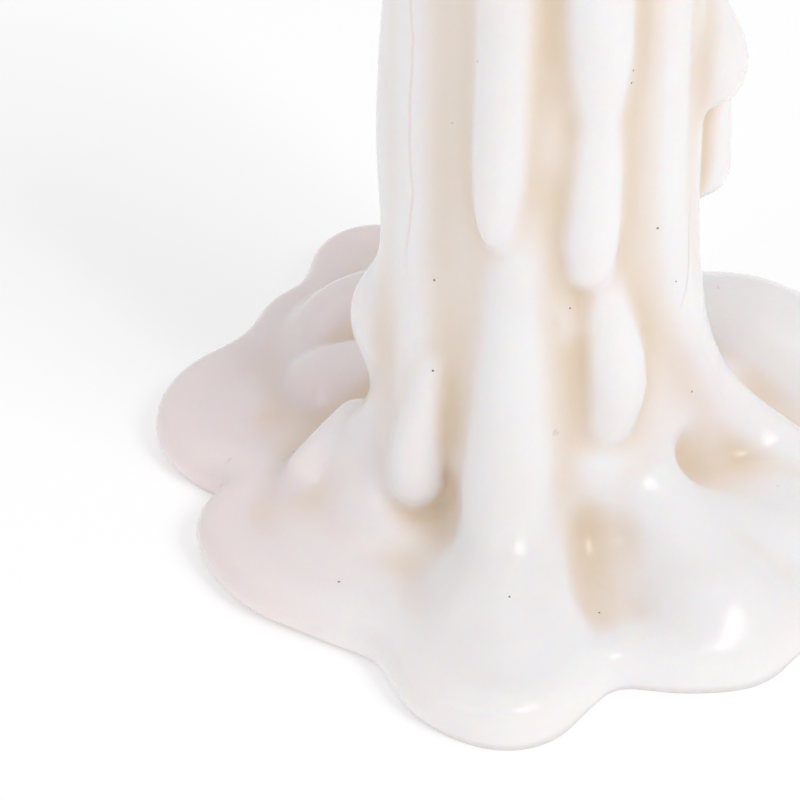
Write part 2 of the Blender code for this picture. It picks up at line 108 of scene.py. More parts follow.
# Hollows left between the flows, with the same four figures for what is missing there.
HOLLOWS = {
    "front hollow": [(14, 29, 20.5, 2.6), (13, 28.5, 17.0, 4.4), (13, 31, 14.2, 5.0),
                     (12, 36, 12.2, 5.0), (10.8, 43, 11.0, 4.0), (10.2, 50, 10.4, 2.4)],
    "front hollow right": [(23, 29, 19.5, 2.0), (21, 30, 16.8, 4.2), (18, 34, 14.4, 4.8),
                           (14, 40, 12.6, 4.2), (11.5, 47, 11.4, 2.8)],
    "right pit": [(58, 28.5, 24.0, 2.4), (60, 27.0, 19.6, 4.4), (66, 28.0, 17.4, 5.2),
                  (74, 32, 16.2, 5.0), (82, 37, 15.8, 3.4)],
    "far left hollow": [(-113, 49, 11.5, 4.0), (-104, 45, 12.0, 6.2), (-95, 41, 12.0, 4.0)],
    "tear hollow": [(-44, 30, 17.5, 7.0), (-38, 33, 15.6, 6.4), (-34, 38, 13.8, 4.6)],
}

# Notches in the top rim, where the melted wax spilled over.
SPILLS = {
    "left spill": [(-90, 12, 148.0, 4.0), (-90, 19, 147.2, 4.2), (-90, 27, 146.6, 3.6)],
    "front spill": [(-20, 12, 147.2, 4.0), (-22, 19, 146.2, 4.4), (-22, 27, 145.4, 3.8)],
    "second spill": [(13, 12, 148.0, 4.0), (14, 19, 147.0, 4.2), (14, 27, 146.2, 3.6)],
    "right spill": [(84, 12, 147.4, 4.0), (84, 19, 146.6, 4.4), (84, 27, 145.8, 3.8)],
    "back spill": [(179, 12, 148.2, 4.0), (180, 19, 147.6, 4.4), (180, 27, 147.0, 3.8)],
}

# ---------------------------------------------------------------- runs down the column
RUNS = {
    "rim left": [(-76, 19.2, 141.6, 3.4), (-56, 19.6, 142.8, 4.0), (-37, 19.2, 142.0, 3.4)],
    "rim right": [(32, 19.2, 141.6, 3.4), (50, 19.6, 143.2, 4.0), (70, 19.2, 142.2, 3.4)],
    "rim back": [(112, 19.4, 141.8, 3.6), (140, 19.6, 142.6, 4.0), (165, 19.2, 141.6, 3.4)],
    "rim far left": [(-168, 19.2, 142.0, 3.4), (-138, 19.6, 143.0, 3.8), (-112, 19.2, 141.4, 3.4)],
    "run 1": [(-88, 18.4, 142, 5.2), (-88, 18.8, 114, 6.4), (-86, 20.8, 74, 6.6),
              (-88, 21.4, 49, 5.4), (-92, 25.4, 38, 5.8), (-92, 25.6, 33.5, 5.8),
              (-90, 23.0, 26, 5.4), (-88, 22.0, 18, 5.4)],
    "run 1b": [(-77, 19.4, 142, 5.0), (-77, 20.0, 96, 5.6), (-76, 20.2, 60, 5.6),
               (-74, 20.6, 36, 5.6), (-77, 22.0, 24, 5.8), (-79, 25.0, 15, 5.6)],
    "run 2": [(-67, 19.2, 142, 4.6), (-67, 20.2, 100, 5.2), (-66, 20.4, 62, 5.2),
              (-63, 20.8, 40, 5.2), (-61, 22.5, 26, 5.2), (-62, 25.0, 16, 5.2)],
    "run 3": [(-15, 17.2, 84, 5.0), (-16, 18.0, 64, 6.0), (-16, 18.8, 46, 6.6),
              (-16, 20.6, 31, 7.4), (-15, 25.5, 18, 7.6), (-12, 33.0, 9.6, 6.6)],
    "run 4": [(48, 18.6, 142, 4.8), (48, 19.2, 100, 5.4), (49, 19.4, 73, 5.2),
              (55, 19.8, 54, 5.0), (65, 20.4, 43, 5.2), (79, 21.2, 33, 5.4), (91, 24.2, 21.8, 5.7),
              (94, 30.0, 13.4, 5.9), (89, 38.0, 8.4, 5.8)],
    "run 4b": [(70, 18.6, 142, 4.6), (70, 19.0, 90, 4.8), (71, 19.0, 60, 4.8), (78, 20.0, 42, 4.6)],
    "run 5": [(122, 20.0, 142, 4.0), (122, 20.4, 100, 4.8), (121, 20.6, 64, 5.0),
              (122, 22.0, 36, 5.2), (124, 26.0, 20, 6.0)],
    "run 6": [(152, 20.0, 141, 3.6), (152, 20.4, 112, 4.4), (150, 20.8, 78, 4.8),
              (151, 21.0, 50, 4.4), (152, 22.0, 26, 4.4)],
    "run 7": [(180, 20.0, 142, 4.2), (179, 20.6, 104, 5.0), (180, 21.0, 70, 5.2),
              (178, 22.0, 40, 5.4), (176, 26.0, 20, 6.0)],
    "run 8": [(-148, 20.0, 142, 3.8), (-149, 20.6, 106, 4.6), (-148, 20.6, 66, 4.6),
              (-146, 21.8, 36, 5.0), (-144, 26.0, 19, 5.6)],
    "run 9": [(-118, 19.6, 142, 4.0), (-118, 20.0, 100, 4.8), (-117, 20.4, 62, 4.8),
              (-117, 21.2, 34, 4.8), (-116, 24.0, 20, 5.0)],
    "left finger": [(-160, 34, 13, 6.5), (-151, 45, 9.2, 7.0), (-144, 49.5, 7.8, 7.0),
                    (-137, 50.0, 7.2, 6.6), (-130, 49.0, 5.8, 6.0), (-122, 48.5, 3.4, 5.4),
                    (-114, 48.0, 0.2, 5.0)],
    "left boulder": [(-132, 27, 11, 6.5), (-127, 34, 8.0, 7.5), (-120, 39.5, 5.8, 8.4)],
    "left knuckle": [(-106, 23, 15, 5.0), (-97, 29, 9.8, 5.0), (-89, 33.5, 8.6, 5.0),
                     (-81, 37.3, 7.8, 5.2), (-77, 41.0, 4.2, 5.2)],
    "knuckle root": [(-84, 25, 10, 5.0), (-80, 32, 5.0, 6.0)],
    "branch left": [(-13, 30, 13.5, 4.5), (-16, 38, 10.0, 4.5), (-18.7, 44, 7.8, 4.2)],
    "branch right": [(-11, 34, 12.0, 4.5), (-9.5, 40, 9.8, 4.5), (-8.7, 44, 8.2, 4.2)],
    "saddle back": [(6, 18.6, 23.5, 5.4), (18, 19.2, 23.5, 6.0), (29, 19.6, 23.0, 5.2)],
    "saddle": [(-4, 19.0, 18.0, 5.0), (8, 19.2, 18.0, 5.4), (20, 20.0, 18.0, 5.6),
               (30, 21.0, 17.5, 5.4)],
    "back right lobe": [(152, 53, 0.0, 9.5), (139, 50.5, 2.5, 12.0), (128, 49.5, 2.5, 12.6),
                        (117, 50.5, 0.5, 11.5)],
}

# ---------------------------------------------------------------- last drips, over the runs
DRIPS = {
    "drip 1": [(-21, 18.6, 142, 4.6), (-22, 18.8, 118, 5.6), (-22, 19.4, 96, 5.4),
               (-22.5, 20.8, 79, 4.9), (-23, 21.8, 70, 3.9), (-23, 22.2, 66.4, 3.0)],
    "drip 2": [(15, 18.6, 142, 4.4), (14, 19.2, 124, 5.0), (15, 19.8, 108, 5.8),
               (16, 19.8, 97, 5.6), (16, 19.4, 88, 4.6), (15.5, 19.0, 81, 4.2)],
    "drip 3": [(16, 19.4, 92, 4.0), (15.5, 20.2, 78, 4.5), (14.0, 21.0, 66, 4.6),
               (14.0, 21.4, 60.5, 3.8)],
    "drip 4": [(17, 19.6, 62, 2.8), (21, 20.4, 53, 3.9), (25, 21.2, 43, 5.0), (26, 21.2, 36, 5.2),
               (24, 20.2, 30.5, 4.8)],
    "drip 5": [(84, 18.6, 142, 4.4), (84, 19.0, 112, 4.8), (84, 20.2, 97, 4.8), (83, 23.0, 87, 6.0),
               (83, 23.2, 83.5, 5.8)],
    "drip 6": [(98, 20.4, 96, 4.2), (99, 22.4, 76, 5.0), (99, 22.8, 62, 5.2)],
    "tear": [(-52, 22.4, 38, 2.0), (-53, 24.0, 31, 3.0), (-53, 25.6, 23, 4.2),
             (-52, 26.2, 16.8, 4.6)],
    "knuckle tip": [(-91, 30, 15.0, 3.8), (-84, 34, 12.4, 4.3), (-79.5, 37.8, 10.0, 4.5)],
    "swell 1": [(-4, 17.6, 94, 4.0), (-4, 18.0, 82, 4.4), (-4, 17.8, 71, 4.0)],
    "swell 2": [(-3, 17.8, 58.0, 4.4), (4, 18.0, 50.0, 4.6), (2, 17.6, 42.0, 4.2)],
}


def metres(*lengths):
    """Millimetres to Blender's metres."""
    return Vector([length * MM for length in lengths])


def place(bearing, reach, height):
    """The point at a bearing, reach and height, in metres from the foot of the wick."""
    turn = math.radians(bearing)
    return metres(reach * math.sin(turn), -reach * math.cos(turn), height)


def link(thing):
    """Puts an object in the scene."""
    bpy.context.scene.collection.objects.link(thing)
    return thing


def catmull(before, start, end, after, t):
    """A smooth curve's point between start (t = 0) and end (t = 1)."""
    return 0.5 * (2 * start + (end - before) * t
                  + (2 * before - 5 * start + 4 * end - after) * t ** 2
                  + (3 * start - before - 3 * end + after) * t ** 3)


def line_through(stations, spacing):
    """A smooth line through (bearing, reach, height, radius) stations, the radius in w."""
    knots = [place(*station[:3]).to_4d() for station in stations]
    for knot, station in zip(knots, stations):
        knot.w = station[3] * MM
    knots = [knots[0] * 2 - knots[1]] + knots + [knots[-1] * 2 - knots[-2]]
    points = []
    for before, start, end, after in zip(knots, knots[1:], knots[2:], knots[3:]):
        steps = max(2, round((end - start).length / (spacing * MM)))
        points += [catmull(before, start, end, after, step / steps) for step in range(steps)]
    points.append(knots[-2])
    return points


def closed_edge(places):
    """A smooth closed line through (bearing, reach) places, at the height of the pool's edge."""
    loop = [place(bearing, reach, RIM_HEIGHT) for bearing, reach in places]
    count = len(loop)
    line = []
    for i in range(count):
        near = [loop[(i + k) % count] for k in (-1, 0, 1, 2)]
        for step in range(6):
            at = catmull(*near, step / 6)
            line.append(Vector((at.x, at.y, at.z, RIM_THICKNESS * MM)))
    return line


def rounded_ends(points, cap_steps=6):
    """Adds a half-round nose to each end of a row of points with radii."""
    row = list(points)
    for end, neighbour in ((0, 1), (-1, -2)):
        tip = row[end]
        along = (tip - row[neighbour]).to_3d().normalized()
        nose = []
        for step in range(1, cap_steps + 1):
            angle = 0.49 * math.pi * step / cap_steps
            at = tip.to_3d() + along * (tip.w * math.sin(angle))
            nose.append(Vector((at.x, at.y, at.z, tip.w * math.cos(angle))))
        row = nose[::-1] + row if end == 0 else row + nose
    return row


def settled(thing):
    """The object's shape with its modifiers applied, as a new mesh object in its place."""
    bpy.context.view_layer.update()
    evaluated = thing.evaluated_get(bpy.context.evaluated_depsgraph_get())
    mesh = bpy.data.meshes.new_from_object(evaluated)
    if thing.type == "CURVE":
        shape = bmesh.new()
        shape.from_mesh(mesh)
        bmesh.ops.remove_doubles(shape, verts=shape.verts, dist=0.00002)
        shape.to_mesh(mesh)
        shape.free()
    mesh.transform(thing.matrix_world)
    solid = link(bpy.data.objects.new(thing.name, mesh))
    bpy.data.objects.remove(thing, do_unlink=True)
    return solid


def bead(name, points, cyclic=False, sides=6):
    """A round-sectioned body along points that carry their own radii in w."""
    curve = bpy.data.curves.new(name, "CURVE")
    curve.dimensions = "3D"
    curve.bevel_depth = 1.0
    curve.bevel_resolution = sides
    curve.use_fill_caps = not cyclic
    spline = curve.splines.new("POLY")
    spline.points.add(len(points) - 1)
    for vertex, point in zip(spline.points, points):
        vertex.co = (point.x, point.y, point.z, 1.0)
        vertex.radius = point.w
    spline.use_cyclic_u = cyclic
    return settled(link(bpy.data.objects.new(name, curve)))


def flows(routes):
    """A bead of wax along each of the routes."""
    return [bead(name, rounded_ends(line_through(stations, 1.2)))
            for name, stations in routes.items()]


def turned(name, profile, steps=96):
    """A closed body turned about the wick's axis from (reach, height) points, top to bottom."""
    mesh = bpy.data.meshes.new(name)
    corners = [metres(reach, 0.0, height) for reach, height in profile]
    mesh.from_pydata(corners, [(i, i + 1) for i in range(len(corners) - 1)], [])
    thing = link(bpy.data.objects.new(name, mesh))
    screw = thing.modifiers.new("turn", "SCREW")
    screw.steps = steps
    screw.render_steps = steps
    screw.use_merge_vertices = True
    screw.merge_threshold = 0.00001
    return settled(thing)


def pool_plate(line):
    """The flat of the pool, filled inside its edge line."""
    curve = bpy.data.curves.new("pool plate", "CURVE")
    curve.dimensions = "2D"
    curve.fill_mode = "BOTH"
    curve.extrude = (POOL_FLOOR + 4.0) * MM / 2
    spline = curve.splines.new("POLY")
    spline.points.add(len(line) - 1)
    for vertex, point in zip(spline.points, line):
        vertex.co = (point.x, point.y, 0.0, 1.0)
    spline.use_cyclic_u = True
    thing = link(bpy.data.objects.new("pool plate", curve))
    thing.location = metres(0, 0, POOL_FLOOR / 2 - 2.0)
    return settled(thing)


def passes(breadth):
    """How many half-strength smoothing steps soften the wax mesh over a breadth in mm."""
    return round((2 * breadth / GRAIN) ** 2)


def fuse(pieces, softening):
    """Runs the pieces together and softens every corner by a radius in millimetres."""
    mass = pieces[0]
    if len(pieces) > 1:
        bpy.ops.object.select_all(action="DESELECT")
        for piece in pieces:
            piece.select_set(True)
        bpy.context.view_layer.objects.active = mass
        bpy.ops.object.join()
    remesh = mass.modifiers.new("run together", "REMESH")
    remesh.mode = "VOXEL"
    remesh.voxel_size = GRAIN * MM
    smooth = mass.modifiers.new("soften", "SMOOTH")
    smooth.factor = 0.5
    smooth.iterations = passes(softening)
    return settled(mass)


def carve(mass, tools):
    """Takes the tools' shapes out of the mass."""
    for tool in tools:
        boolean = mass.modifiers.new(tool.name, "BOOLEAN")
        boolean.operation = "DIFFERENCE"
        boolean.solver = "EXACT"
        boolean.object = tool
    mass = settled(mass)
    for tool in tools:
        bpy.data.objects.remove(tool, do_unlink=True)
    return mass


def wax_core():
    """The candle itself, straight down to a foot that flares out under the runs."""
    top = WAX_HEIGHT - 1.0
    return turned("core", [
        (0.0, top), (CORE_RADIUS - 0.4, top), (CORE_RADIUS + 0.2, top - 2.0),
        (CORE_RADIUS, WAX_HEIGHT - 14.0), (CORE_RADIUS, 44), (CORE_RADIUS + 0.9, 30),
        (CORE_RADIUS + 2.6, 20), (CORE_RADIUS + 5.6, 13), (CORE_RADIUS + 10, 9),
        (CORE_RADIUS + 15, POOL_FLOOR), (CORE_RADIUS + 15, -4), (0.0, -4)])


def melt_well():
    """The bowl that the flame melted round the wick."""
    floor = WAX_HEIGHT - WELL_DEPTH
    bowl = [(WELL_RADIUS + 5.0, WAX_HEIGHT + 6.0)]
    for step in range(13):
        turn = 0.5 * math.pi * step / 12
        bowl.append((WELL_RADIUS * math.cos(turn), WAX_HEIGHT - WELL_DEPTH * math.sin(turn)))
    bowl[-1] = (0.0, floor)
    return turned("melt well", [(0.0, WAX_HEIGHT + 6.0)] + bowl)


def wick_hole():
    """The tab's recess, its neck and the wick's channel, round the CAD pieces in them."""
    wick = WICK_RADIUS + GAP
    tab = (TAB_HIGH - TAB_LOW).x / 2 / MM + GAP
    tab_top = 1.3                # over the disc of the tab
    neck = 2.8                   # round the neck of the tab
    neck_top = TAB_HIGH.z / MM + GAP
    return turned("wick hole", [
        (0.0, WICK_TIP + 10.0), (wick, WICK_TIP + 10.0), (wick, neck_top), (neck, neck_top),
        (neck, tab_top), (tab, tab_top), (tab, -8.0), (0.0, -8.0)], steps=64)


def ground():
    """What the candle stands on, which cuts its underside flat."""
    return turned("ground", [(0.0, 0.0), (120.0, 0.0), (120.0, -30.0), (0.0, -30.0)])


def wax_body():
    """Core, pool, runs and drips fused in passes, from the broad to the fine."""
    edge = closed_edge(POOL_EDGE)
    pool = [wax_core(), pool_plate(edge), bead("pool edge", edge, cyclic=True)]
    mass = fuse(pool + flows(FLOWS), 2.6)
    mass = fuse([mass] + flows(RUNS), 2.1)
    mass = fuse([carve(mass, flows(HOLLOWS))], 2.0)
    mass = fuse([mass] + flows(DRIPS), 1.5)
    mass = fuse([carve(mass, [melt_well()] + flows(SPILLS))], 0.7)
    mass = carve(mass, [ground(), wick_hole()])
    mass.data.transform(Matrix.Translation(AXIS))
    mass.name = "candle_wax"
    mass.data.shade_smooth()
    mass.data.set_sharp_from_angle(angle=math.radians(50))
    return mass


# ---------------------------------------------------------------- shader arithmetic
class Value:
    """A node's output; sums on it add Math nodes to its sheet."""

    def __init__(self, sheet, output):
        self.sheet = sheet
        self.output = output

    def math(self, operation, *others):
        """A Math node's result from this value and the others."""
        return self.sheet.node("ShaderNodeMath", {"operation": operation}, {
            i: other for i, other in enumerate((self,) + others)})

    def __add__(self, other):
        return self.math("ADD", other)

    __radd__ = __add__

    def __mul__(self, other):
        return self.math("MULTIPLY", other)

    __rmul__ = __mul__

    def __sub__(self, other):
        return self.math("SUBTRACT", other)

    def __rsub__(self, other):
        return self.sheet.node("ShaderNodeMath", {"operation": "SUBTRACT"}, {0: other, 1: self})

    def __abs__(self):
        return self.math("ABSOLUTE")

    def above(self, edge):
        """1 where this value is over the edge, else 0."""
        return self.math("GREATER_THAN", edge)

    def below(self, edge):
        """1 where this value is under the edge, else 0."""
        return self.math("LESS_THAN", edge)

    def ramp(self, low, high):
        """0 at low, 1 at high, smooth between."""
        return self.sheet.node("ShaderNodeMapRange", {"interpolation_type": "SMOOTHSTEP"}, {
            "Value": self, "From Min": low, "From Max": high})


class Sheet:
    """A material's node tree and its one Principled shader."""

    def __init__(self, name):
        self.material = bpy.data.materials.new(name)
        self.material.use_nodes = True
        self.tree = self.material.node_tree
        self.shader = self.tree.nodes["Principled BSDF"]

    def node(self, kind, settings=None, inputs=None, output=0):
        """One output of a new node, with its settings made first and its inputs fed."""
        made = self.tree.nodes.new(kind)
        for key, setting in (settings or {}).items():
            setattr(made, key, setting)
        for key, value in (inputs or {}).items():
            self.feed(made.inputs[key], value)
        return Value(self, made.outputs[output])

    def feed(self, socket, value):
        """A value or a link into a socket; three numbers make a colour."""
        if isinstance(value, Value):
            self.tree.links.new(value.output, socket)
        elif isinstance(value, tuple) and len(value) == 3 and socket.type == "RGBA":
            socket.default_value = (*value, 1.0)
        else:
            socket.default_value = value

    def set(self, **sockets):
        """Feeds the Principled shader's sockets, with _ for each space in a name."""
        for name, value in sockets.items():
            self.feed(self.shader.inputs[name.replace("_", " ")], value)

    def mix(self, factor, one, other):
        """From colour one to colour other as factor goes from 0 to 1."""
        made = self.tree.nodes.new("ShaderNodeMix")
        made.data_type = "RGBA"
        self.feed(made.inputs[0], factor)
        self.feed(made.inputs[6], one)
        self.feed(made.inputs[7], other)
        return Value(self, made.outputs[2])

    def place(self):
        """Where a point is, in metres."""
        return self.node("ShaderNodeTexCoord", output="Object")

    def from_wick(self):
        """Across to the right, across to the back and up from the foot of the wick, in mm."""
        moved = self.node("ShaderNodeVectorMath", {"operation": "SUBTRACT"}, {
            0: self.place(), 1: tuple(AXIS)})
        return [self.node("ShaderNodeSeparateXYZ", {}, {"Vector": moved}, axis) * 1000.0
                for axis in range(3)]

    def cells(self, size):
        """Cells about a size in metres across: the way from each middle, and a number each."""
        away = self.node("ShaderNodeTexVoronoi", {"feature": "F1"}, {
            "Vector": self.place(), "Scale": 1.0 / size, "Randomness": 1.0}, "Distance")
        return away, abs(Value(self, away.output.node.outputs["Color"]))

    def noise(self, size, detail=2.0, roughness=0.5, offset=0.0, stretch=(1.0, 1.0, 1.0)):
        """Cloudy variation with lumps of a size in metres."""
        where = self.node("ShaderNodeMapping", {}, {
            "Vector": self.place(), "Location": (offset, offset, offset), "Scale": stretch})
        return self.node("ShaderNodeTexNoise", {}, {
            "Vector": where, "Scale": 1.0 / size, "Detail": detail, "Roughness": roughness})

    def bump(self, height, distance, strength, over=None):
        """Relief from a height, over another bump where one is given."""
        inputs = {"Height": height, "Distance": distance, "Strength": strength}
        if over:
            inputs["Normal"] = over
        return self.node("ShaderNodeBump", {}, inputs)


DEGREE_ARC = 0.01745         # the arc of one degree at a reach of 1
DEGREES = 57.3               # in a radian

# Seams where one run overlaps another: (bearing, height) of the lower and the upper end.
SEAMS = [((-61, 50), (-62, 128)), ((54, 44), (62, 70)), ((-163, 40), (-161, 112)),
         ((106, 34), (108, 96)), ((166, 30), (164, 84))]


def seams(sheet, bearing, reach, height):
    """1 along the seams between runs, 0 a third of a millimetre off them."""
    wander = sheet.noise(0.012, detail=1.0) * 8.0 - 4.0
    total = 0.0
    for (low_bearing, low), (high_bearing, high) in SEAMS:
        slope = (high_bearing - low_bearing) / (high - low)
        turn = bearing - wander - (height - low) * slope - low_bearing
        off = abs(turn) * reach * DEGREE_ARC
        along = height.ramp(low, low + 10) * (1.0 - height.ramp(high - 14, high))
        total = total + (1.0 - off.ramp(0.05, 0.38)) * along
    return total


def wax_finish():
    """Ivory wax with dust, nicks, seams and a sooty melt well; painted warm shade darkens its
    clefts, the creases of its seams and the left and back of the pool.
    """
    sheet = Sheet("ivory wax")
    across, back, height = sheet.from_wick()
    reach = (across * across + back * back).math("SQRT")
    bearing = across.math("ARCTAN2", back * -1.0) * DEGREES
    clouds = sheet.noise(0.022)
    streaks = sheet.noise(0.006, detail=2.0, stretch=(1.0, 1.0, 0.25))
    ripple = sheet.noise(0.009, detail=2.0, roughness=0.4)
    pores = sheet.noise(0.0012, detail=3.0)
    hollow = sheet.node("ShaderNodeAttribute", {"attribute_name": "hollow"}, output="Fac")
    colour = sheet.mix(clouds.ramp(0.35, 0.7), (0.935, 0.882, 0.885), (0.948, 0.915, 0.93))
    colour = sheet.mix(streaks.ramp(0.5, 0.75) * 0.2, colour, (0.935, 0.88, 0.86))
    # painted shade: the pool out to the left and the back, away from the key light, painted darker
    # and pinker
    left_back_shade = (back * 0.5 - across).ramp(0, 46) * (1.0 - height.ramp(8, 28))
    colour = sheet.mix(left_back_shade * (0.55 + 0.5 * clouds), colour, (0.86, 0.765, 0.762))
    # painted shade: warm shade in the clefts, as deep as each point lies between its neighbours
    colour = sheet.mix(hollow, colour, (0.84, 0.70, 0.55))
    seam = seams(sheet, bearing, reach, height)
    # painted shade along the seams' fine creases, beside the groove that their bump cuts
    colour = sheet.mix(seam * 0.28, colour, (0.72, 0.58, 0.50))
    # soot and scorched wax in the melt well, thickest at the wick
    in_well = height.ramp(136.5, 137.5) * (1.0 - reach.ramp(15.0, 18.0))
    scorched = in_well * (1.0 - reach.ramp(1.5, 12.0)) * (0.1 + 1.1 * ripple + 0.7 * pores)
    colour = sheet.mix((scorched * 0.75).math("MINIMUM", 0.8), colour, (0.20, 0.14, 0.10))
    colour = sheet.mix(in_well * 0.25, colour, (0.80, 0.68, 0.54))
    # the wax darker, in patches, along the foot of the pool where it meets the table
    foot = 1.0 - height.ramp(0.2, 1.6)
    colour = sheet.mix(foot * (0.15 + 0.5 * pores), colour, (0.62, 0.57, 0.53))
    # dust and soot caught in the wax while it was soft, and small nicks from handling
    grain, number = sheet.cells(0.0055)
    speck = grain.below(0.038 + 0.02 * in_well) * number.above(0.5 - 0.12 * in_well)
    colour = sheet.mix(speck * 0.8, colour, (0.16, 0.07, 0.05))
    grain, number = sheet.cells(0.013)
    ring = 1.0 - abs(grain - 0.07).ramp(0.004, 0.016)
    nick = ring * pores.ramp(0.50, 0.58) * number.above(0.56)
    colour = sheet.mix(nick * 0.22, colour, (0.60, 0.48, 0.42))
    rough = 0.195 + 0.05 * ripple + 0.02 * pores
    relief = sheet.bump(ripple, 0.0004, 0.35)
    cuts = sheet.bump(1.0 - seam * 0.8 - nick, 0.00018, 0.6, over=relief)
    sheet.set(Base_Color=colour, Roughness=rough, Normal=cuts)
    sheet.set(Subsurface_Weight=1.0, Subsurface_Radius=(1.0, 0.72, 0.5), Subsurface_Scale=0.0025)
    sheet.set(IOR=1.44)
    return sheet.material


def mark_hollows(mass):
    """Stores how deep each point lies between its neighbours, 0 on ridges to 1 in clefts, the mask
    of the wax's painted shade in its clefts.
    """
    mesh = mass.data
    count = len(mesh.vertices)
    surface = np.empty(count * 3)
    mesh.vertices.foreach_get("co", surface)
    normals = np.empty(count * 3)
    mesh.vertices.foreach_get("normal", normals)
    surface, normals = surface.reshape(-1, 3), normals.reshape(-1, 3)
    up_the_column = np.clip((surface[:, 2] / MM - 15) / 20, 0.0, 1.0)
    depth = np.zeros(count)
    for breadth, weight in ((3.0, 0.6), (6.0, 0.5)):
        twin = link(bpy.data.objects.new("slack", mesh.copy()))
        smooth = twin.modifiers.new("slack", "SMOOTH")
        smooth.factor = 0.5
        smooth.iterations = passes(breadth)
        twin = settled(twin)
        slack = np.empty(count * 3)
        twin.data.vertices.foreach_get("co", slack)
        bpy.data.objects.remove(twin, do_unlink=True)
        proud = ((slack.reshape(-1, 3) - surface) * normals).sum(axis=1) / MM
        proud += 0.75 * up_the_column * breadth ** 2 / (2 * CORE_RADIUS)
        depth += weight * proud
    depth = np.clip(depth - 0.05, 0.0, 1.0)
    layer = mesh.attributes.new("hollow", "FLOAT", "POINT")
    layer.data.foreach_set("value", depth.astype(np.float32))


def dress(piece, finish):
    """Gives a piece one finish in place of what it has."""
    piece.data.materials.clear()
    piece.data.materials.append(finish)


def wick_line(spacing=0.5):
    """The middle of the wick from its tab to its curled tip, as evenly spaced points in mm."""
    well = WAX_HEIGHT - WELL_DEPTH + 1
    tip = WICK_TIP - well
    bends = [(0, 0, -20), (0, 0, 0.6), (0, 0, 40), (0, 0, 90), (0, 0, well),
             (0.2, 0.0, well + 0.3 * tip), (0.8, -0.1, well + 0.55 * tip),
             (1.9, -0.3, well + 0.78 * tip), (3.1, -0.5, well + 0.88 * tip), (4.3, -0.7, 149.6)]
    bends = [Vector(bend) for bend in bends]
    line = []
    for near in zip(bends, bends[1:], bends[2:], bends[3:]):
        steps = max(2, round((near[2] - near[1]).length / spacing))
        line += [catmull(*near, step / steps) for step in range(steps)]
    return line + [bends[-2]]


def tubes(name, rows, sides=8):
    """One mesh of round strands, each a row of (middle, radius) in mm, closed at both ends."""
    corners, faces = [], []
    for row in rows:
        first = len(corners)
        for i, (middle, radius) in enumerate(row):
            along = (row[min(i + 1, len(row) - 1)][0] - row[max(i - 1, 0)][0]).normalized()
            right = along.cross(Vector((0.31, 0.87, 0.11))).normalized()
            up = along.cross(right)
            for side in range(sides):
                turn = 2 * math.pi * side / sides
                out = right * math.cos(turn) + up * math.sin(turn)
                corners.append((middle + out * radius) * MM)
        for i in range(len(row) - 1):
            for side in range(sides):
                a, b = first + i * sides + side, first + i * sides + (side + 1) % sides
                faces.append((a, b, b + sides, a + sides))
        faces.append(tuple(first + side for side in reversed(range(sides))))
        faces.append(tuple(first + (len(row) - 1) * sides + side for side in range(sides)))
    mesh = bpy.data.meshes.new(name)
    mesh.from_pydata(corners, [], faces)
    mesh.shade_smooth()
    return link(bpy.data.objects.new(name, mesh))


STRAND_PITCH = 9.0           # a strand's way up the wick in one turn, in mm
STRANDS_BURNED_OFF = (0, 1, 3, 0, 2, 1)                     # half millimetres, strand by strand


def braided_wick():
    """Six waxed cotton strands, three each way over and under, burned thin at the tip."""
    line = wick_line()
    lengths = [0.0]
    for before, after in zip(line, line[1:]):
        lengths.append(lengths[-1] + (after - before).length)
    rows = [[(at, 0.5) for at in line]]
    for strand in range(6):
        way = 1 if strand % 2 else -1
        row = []
        for i, (at, run) in enumerate(zip(line, lengths)):
            along = (line[min(i + 1, len(line) - 1)] - line[max(i - 1, 0)]).normalized()
            right = Vector((0, 1, 0)).cross(along).normalized()
            back = along.cross(right)
            round_once = 2 * math.pi * run / STRAND_PITCH
            turn = way * round_once + math.radians(120 * (strand // 2))
            weave = 0.74 + way * 0.2 * math.cos(3 * round_once)
            burned = max(0.0, 1 - (lengths[-1] - run) / 7.0)
            frayed = 1 + 0.25 * burned * math.sin(run * 2.3 + strand * 1.7)
            side = right * math.cos(turn) + back * math.sin(turn)
            row.append((at + side * weave * frayed, 0.44 * (1 - 0.4 * burned) * frayed))
        rows.append(row[:len(row) - STRANDS_BURNED_OFF[strand]])
    wick = tubes("braided_wick", rows)
    wick.data.transform(Matrix.Translation(AXIS))
    return wick


def wick_finish():
    """Waxed cotton below, scorched brown out of the wax and burned black at the tip."""
    sheet = Sheet("waxed cotton")
    height = sheet.from_wick()[2]
    fuzz = sheet.noise(0.0006, detail=3.0)
    patches = sheet.noise(0.0022)
    level = height + 3.0 * (patches - 0.5)
    colour = sheet.mix(fuzz.ramp(0.35, 0.65), (0.74, 0.64, 0.48), (0.84, 0.77, 0.64))
    colour = sheet.mix(level.ramp(138.5, 142.0), colour, (0.22, 0.12, 0.06))
    colour = sheet.mix(level.ramp(141.5, 144.0), colour, (0.018, 0.016, 0.015))
    ash = level.ramp(147.0, 150.5) * fuzz.ramp(0.5, 0.62)
    colour = sheet.mix(ash * 0.55, colour, (0.36, 0.34, 0.32))
    rough = 0.45 + 0.45 * level.ramp(140.0, 144.0) + 0.15 * (fuzz - 0.5)
    sheet.set(Base_Color=colour, Roughness=rough, Normal=sheet.bump(fuzz, 0.0002, 0.8))
    return sheet.material


